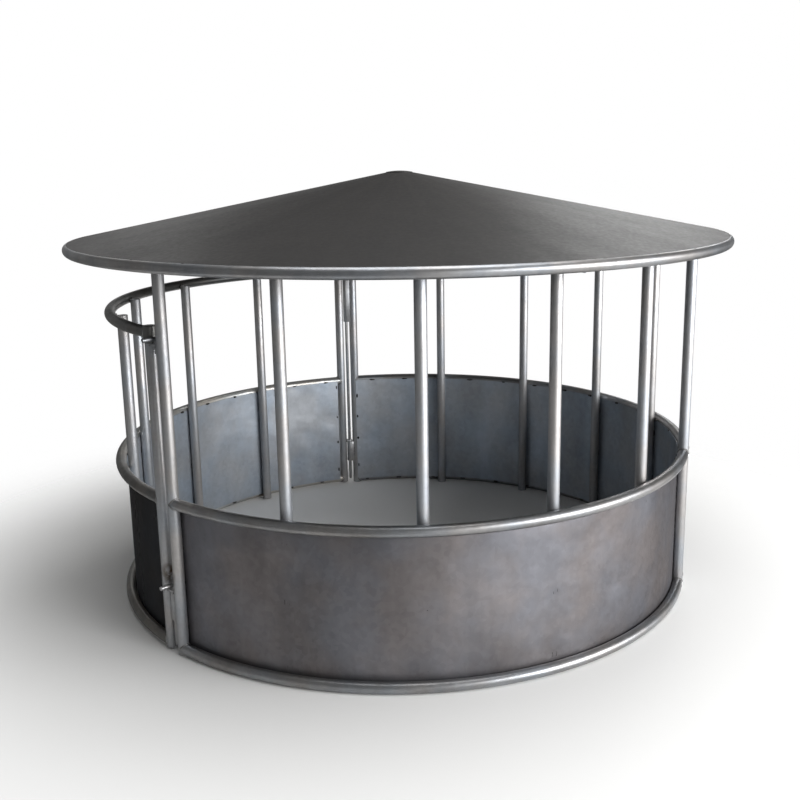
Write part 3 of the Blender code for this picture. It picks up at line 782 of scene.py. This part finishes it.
def lay_bead(body, points, size, closed=False, store=beads):
    """Notes a bead as its points and the radius at each.

    It stays above the ground, and an open one is thin at its ends.
    """
    radii = [size * rng.uniform(*LUMPS) for _ in points]
    line = [Vector((p.x, p.y, max(p.z, radius + OFF_GROUND))) for p, radius in zip(points, radii)]
    if not closed:
        radii[0] *= THIN_END
        radii[-1] *= THIN_END
    store[body].append((line, radii, closed))


def saddle(body, post, height, rail_ring, side):
    """Bead where a rail meets a post. side is +1 where the rail leaves towards larger ring angles."""
    angle = ring_angle(post)
    out = ring_point(1, angle)
    tangent = ring_point(1, angle + 90) * side
    widest = TUBE * 0.995  # a hair inside the pipe, so that the root below is real
    points = []
    for i in range(SADDLE_POINTS):
        a = math.radians(360 * i / SADDLE_POINTS)
        across = TUBE * math.cos(a) + rail_ring - Vector(post.xy).length
        across = max(-widest, min(widest, across))
        ahead = math.sqrt(TUBE ** 2 - across ** 2)
        on_axis = Vector((post.x, post.y, height + TUBE * math.sin(a)))
        points.append(on_axis + out * across + tangent * ahead)
    lay_bead(body, points, BEAD, closed=True)


def tack(body, point, along, length, size=TACK):
    direction = along.normalized()
    lay_bead(body, [point + direction * length * (i / 4 - 0.5) for i in range(5)], size, store=tacks)


print("beads are about %.1f mm thick" % (2000 * BEAD))

# %% [markdown]
# The saddles go where rails meet end posts. The sheet is tacked to the end posts, along the two
# rails and beside the uprights, and each upright's top to the top rail.

# %% Beads and tacks of the sections
END_TACK_HEIGHTS = (0.11, 0.27, 0.41, 0.52)
UPRIGHT_TACK_HEIGHTS = (0.06, 0.30, 0.52)
RAIL_TACKS = 13
SUNK = 0.0012  # how far a tack's middle lies behind the face it sits on
UNDER = 0.004  # how far a tack sits under the middle of a rail
BESIDE_POST, BESIDE_UPRIGHT = 0.35, 0.42  # in degrees round the ring

for section, posts in SECTIONS.items():
    body = BODY[section]
    start, stop = section_angles(section)
    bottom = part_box(section + "_bottom_rail")[0].z + TUBE
    trim = GATE_TRIM if section == "gate" else 0.0
    for post, side in zip(posts, (1, -1)):
        middle = box_middle(post)
        saddle(body, middle, bottom, RING, side)
        saddle(body, middle, MID_HEIGHT, RING, side)
        if section != "gate":
            saddle(body, middle, TOP_HEIGHT, TOP_RING, side)
        edge = ring_angle(middle) + side * (trim + BESIDE_POST)
        for height in END_TACK_HEIGHTS:
            tack(body, ring_point(SKIRT_RADIUS - SHEET, edge, height + rng.uniform(-0.035, 0.035)),
                 UP, rng.uniform(0.010, 0.022), rng.uniform(0.0032, 0.0054))
    for i in range(RAIL_TACKS):
        angle = start + (stop - start) * (i + 0.5) / RAIL_TACKS + rng.uniform(-0.5, 0.5)
        tack(body, ring_point(SKIRT_RADIUS - SUNK, angle, MID_HEIGHT - 0.0004), ring_point(1, angle + 90),
             rng.uniform(0.016, 0.032), rng.uniform(0.0036, 0.0056))
        tack(body, ring_point(SKIRT_RADIUS - SHEET - 0.0006, angle + 2, bottom - UNDER),
             ring_point(1, angle + 92), rng.uniform(0.016, 0.030), rng.uniform(0.0030, 0.0044))
    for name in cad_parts:
        if name.startswith(section + "_upright"):
            angle = post_angle(name)
            top = GATE_TOP if section == "gate" else TOP_HEIGHT
            for off in (-1, 1):
                beside = angle + off * BESIDE_UPRIGHT
                for height in UPRIGHT_TACK_HEIGHTS:
                    tack(body, ring_point(SKIRT_RADIUS - SHEET - SUNK, beside, height), UP, 0.03)
                tack(body, ring_point(TOP_RING - TUBE - SUNK, beside, top - UNDER), UP, 0.022)
print("beads so far:", {body: len(beads[body]) + len(tacks[body]) for body in beads})

# %% [markdown]
# The sockets of the gate's top rail, the lugs and the edge of the roof are welded too. The
# roof is only tacked to its rim, about every ten degrees. Then the beads of each piece become
# tubes of one curve, as thick at every point as its radius says, and the curve becomes a mesh.

# %% Beads on the sockets, the lugs and the roof
SOCKET_POINTS = 28
LUG_BEAD = 0.0022
ROOF_TACKS = 36
start, stop = section_angles("gate")
for angle, side in ((start, 1), (stop, -1)):
    centre = ring_point(RING, angle, GATE_TOP)
    points = []
    for i in range(SOCKET_POINTS):
        a = math.radians(360 * i / SOCKET_POINTS)
        across = TUBE * math.cos(a) + TOP_RING - RING
        ahead = math.sqrt(max(SOCKET_RADIUS ** 2 - across ** 2, 0.0))
        points.append(centre + ring_point(1, angle) * across + ring_point(1, angle + 90) * side * ahead
                      + Vector((0, 0, TUBE * math.sin(a))))
    lay_bead("gate", points, BEAD * 0.8, closed=True)

for joint, sections in JOINTS.items():
    eye = ring_point(RING, joint_axis(joint))
    for section in sections:
        post = box_middle("%s_%s_post" % (section, joint))
        along = (Vector((post.x, post.y, 0)) - eye).normalized()
        beside = Vector((-along.y, along.x, 0))
        for level in ("lower", "upper"):
            low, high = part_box("%s_%s_lug_%s" % (section, joint, level))
            length = high.z - low.z
            corner = Vector((post.x, post.y, 0)) - along * math.sqrt(TUBE ** 2 - EYE ** 2)
            for sign in (-1, 1):
                foot = corner + beside * sign * (EYE + 0.0004)
                lay_bead(BODY[section], [foot + UP * (low.z + length * i / 6) for i in range(7)], LUG_BEAD)

for i in range(ROOF_TACKS):
    angle = i * 360 / ROOF_TACKS + rng.uniform(-1.5, 1.5)
    tack("ring", ring_point(EDGE_RADIUS - 0.0002, angle, roof_height(EDGE_RADIUS) - 0.0016),
         ring_point(1, angle + 90), rng.uniform(0.012, 0.022), LUG_BEAD)


def bead_piece(name, body, store, finish):
    curve = bpy.data.curves.new(name, "CURVE")
    curve.dimensions = "3D"
    curve.bevel_depth = 1.0
    curve.bevel_resolution = 1
    curve.use_fill_caps = True
    for points, radii, closed in store[body]:
        spline = curve.splines.new("POLY")
        spline.points.add(len(points) - 1)
        for point, place, radius in zip(spline.points, points, radii):
            point.co = (*place, 1)
            point.radius = radius
        spline.use_cyclic_u = closed
    piece = make_piece(name, curve_mesh(curve), finish, body, "hardware")
    print(name, len(store[body]), "beads,", len(piece.data.polygons), "faces")


for body in ("ring", "gate"):
    bead_piece(body + "_welds", body, beads, WELD)
    bead_piece(body + "_tacks", body, tacks, TACK_METAL)

# %% [markdown]
# ## Floor
#
# A feeder stands on the ground, so it needs something to cast its shadow on. The floor is a
# pale disc that fades out at its edge, by an alpha that falls with the distance from the
# middle. It meets the pale background without a horizon, and the shadow under the ring stays.

# %% Floor
FLOOR_RADIUS = 3.0
FLOOR_DROP = 0.0005  # just under the feet
FADE_START = 1.42
FADE_END = FLOOR_RADIUS - 0.1
floor_mesh = bmesh.new()
bmesh.ops.create_circle(floor_mesh, cap_ends=True, segments=96, radius=FLOOR_RADIUS)
bmesh.ops.translate(floor_mesh, verts=floor_mesh.verts, vec=(0, 0, -FLOOR_DROP))
data = bpy.data.meshes.new("floor")
floor_mesh.to_mesh(data)
floor_mesh.free()
floor = bpy.data.objects.new("floor", data)
bpy.context.scene.collection.objects.link(floor)
n = Nodes("floor_pale")
n.shader.inputs["Base Color"].default_value = (0.88, 0.88, 0.87, 1)
n.shader.inputs["Roughness"].default_value = 0.9
n.shader.inputs["Specular IOR Level"].default_value = 0.1
fade = n.add("MapRange", {"Value": n.length(n.coordinates), "From Min": FADE_START, "From Max": FADE_END,
                          "To Min": 1.0, "To Max": 0.0}, interpolation_type="SMOOTHERSTEP")
n.join("Alpha", fade.outputs["Result"])
floor.data.materials.append(n.material)
print("floor radius", FLOOR_RADIUS)

# %% [markdown]
# ## World
#
# Steel shows what stands round it. The world is white at eye level, as a studio's walls are,
# and dim overhead, which keeps the roof dark. One side of it is a little brighter, like a
# window, and gives every pipe its bright band. The camera itself sees it white all over.

# %% World
world = bpy.data.worlds.new("studio")
bpy.context.scene.world = world
world.use_nodes = True
tree = world.node_tree
background = tree.nodes["Background"]


DIM, PALE, BRIGHT = 0.14, 1.0, 0.40
WALL_TOP, DIM_START = 0.137, 0.22  # rise of a direction where the walls end and the dim part starts
BRIGHT_SIDE = tuple(ring_point(1, 60, -0.1).normalized())


def world_math(operation, *values):
    return add_node(tree, "Math", dict(enumerate(values)), operation=operation).outputs[0]


heading = add_node(tree, "TexCoord", {}).outputs["Generated"]
rise = add_node(tree, "SeparateXYZ", {"Vector": heading}).outputs["Z"]
wall = add_node(tree, "MapRange", {"Value": rise, "From Min": WALL_TOP, "From Max": DIM_START,
                                   "To Min": PALE, "To Max": DIM}, interpolation_type="SMOOTHSTEP")
facing = add_node(tree, "VectorMath", {0: heading, 1: BRIGHT_SIDE}, operation="DOT_PRODUCT")
near = add_node(tree, "MapRange", {"Value": facing.outputs["Value"], "From Min": 0.2,
                                   "From Max": 1.0}).outputs["Result"]
window = world_math("MULTIPLY", world_math("POWER", near, 2.0), BRIGHT)
lit = world_math("ADD", wall.outputs["Result"], window)
seen = world_math("MULTIPLY", add_node(tree, "LightPath", {}).outputs["Is Camera Ray"], PALE)
tree.links.new(world_math("MAXIMUM", lit, seen), background.inputs["Strength"])
background.inputs["Color"].default_value = (1, 1, 1, 1)
print("world", PALE, "at eye level,", DIM, "overhead")

# %% [markdown]
# ## Curtains
#
# White walls all round would wash the steel out. A photographer hangs dark cloth round it to
# get the dark bands back. Two strips of cloth do it here: a grey one round the left, from
# behind to the camera, and a darker one at the right rear. They are hidden from the camera, so
# the background stays white from every side.

# %% Curtains
CURTAIN_RING = 5.0
CURTAIN_FOOT = -2.5
CURTAIN_STEP = 4  # degrees


def cloth(name, grey):
    n = Nodes(name)
    n.shader.inputs["Base Color"].default_value = (grey, grey, grey, 1)
    n.shader.inputs["Roughness"].default_value = 1.0
    return n.material


def curtain(name, start, stop, top, material):
    bm = bmesh.new()
    verts = [bm.verts.new((CURTAIN_RING, 0, z)) for z in (CURTAIN_FOOT, top)]
    bm.edges.new(verts)
    bmesh.ops.spin(bm, geom=list(bm.verts) + list(bm.edges), axis=(0, 0, 1), cent=(0, 0, 0),
                   angle=math.radians(stop - start), steps=round((stop - start) / CURTAIN_STEP))
    turn_about_z(bm, start - 90)
    data = bpy.data.meshes.new(name)
    bm.to_mesh(data)
    bm.free()
    data.materials.append(material)
    strip = bpy.data.objects.new(name, data)
    strip.visible_camera = False
    bpy.context.scene.collection.objects.link(strip)


curtain("curtain_left", -150, 8, 3.2, cloth("curtain_grey", 0.17))
curtain("curtain_right", 106, 176, 2.6, cloth("curtain_dark", 0.03))
print("curtains at", CURTAIN_RING, "m")

# %% [markdown]
# ## Lights
#
# The key is a wide, low lamp on the right, which lights the right half of the skirt and the
# inner side of the gate. Two lamps behind the feeder give the roof its haze, strong on the
# right and faint on the left, and one overhead softens the shadows.

# %% Lights
def soft_light(name, place, aim, width, height, power):
    """An oval lamp at a place, turned to the point it aims at. Its power is in watts."""
    data = bpy.data.lights.new(name, "AREA")
    data.shape = "ELLIPSE"
    data.size = width
    data.size_y = height
    data.energy = power
    light = bpy.data.objects.new(name, data)
    light.location = place
    light.rotation_euler = (Vector(aim) - Vector(place)).to_track_quat("-Z", "Y").to_euler()
    bpy.context.scene.collection.objects.link(light)


soft_light("key", (7.7, -4.6, 2.5), (0, 0, 0.7), 9.0, 4.4, 1130)
soft_light("back", (3.0, 5.7, 4.2), (0.9, -0.4, 1.5), 2.6, 2.6, 90)
soft_light("back_left", (-3.4, 5.5, 4.2), (-1.1, -0.4, 1.5), 2.0, 2.0, 22)
soft_light("top", (0.5, -0.4, 6.2), (0, 0, 0), 5.0, 5.0, 290)

# %% [markdown]
# ## Camera
#
# The camera was lined up with the photograph: it stands almost straight in front, a little
# above the roof's edge, and looks slightly down. Its focal length is kept in pixels of the
# 800 pixel picture, and a small shift puts the lens's axis where the photograph has it.

# %% Camera
FOCAL_PIXELS = 1029.34
PICTURE = 800
CENTRE_X, CENTRE_Y = 425.6, 394.69
CAMERA_DISTANCE, CAMERA_HEIGHT, CAMERA_ANGLE = 4.390, 1.7914, 0.405
YAW, PITCH_DOWN, ROLL = 0.885, 13.150, -0.686
camera_data = bpy.data.cameras.new("camera")
camera_data.sensor_width = 36.0
camera_data.lens = FOCAL_PIXELS / PICTURE * camera_data.sensor_width
camera_data.shift_x = (PICTURE / 2 - CENTRE_X) / PICTURE
camera_data.shift_y = (CENTRE_Y - PICTURE / 2) / PICTURE
camera = bpy.data.objects.new("camera", camera_data)
camera.matrix_world = (Matrix.Translation(ring_point(CAMERA_DISTANCE, CAMERA_ANGLE, CAMERA_HEIGHT))
                       @ Matrix.Rotation(math.radians(-YAW), 4, "Z")
                       @ Matrix.Rotation(math.radians(90 - PITCH_DOWN), 4, "X")
                       @ Matrix.Rotation(math.radians(ROLL), 4, "Z"))
bpy.context.scene.collection.objects.link(camera)
bpy.context.scene.camera = camera
bpy.context.scene.view_settings.view_transform = "Standard"
print("lens %.2f mm, shift %.4f %.4f" % (camera_data.lens, camera_data.shift_x, camera_data.shift_y))
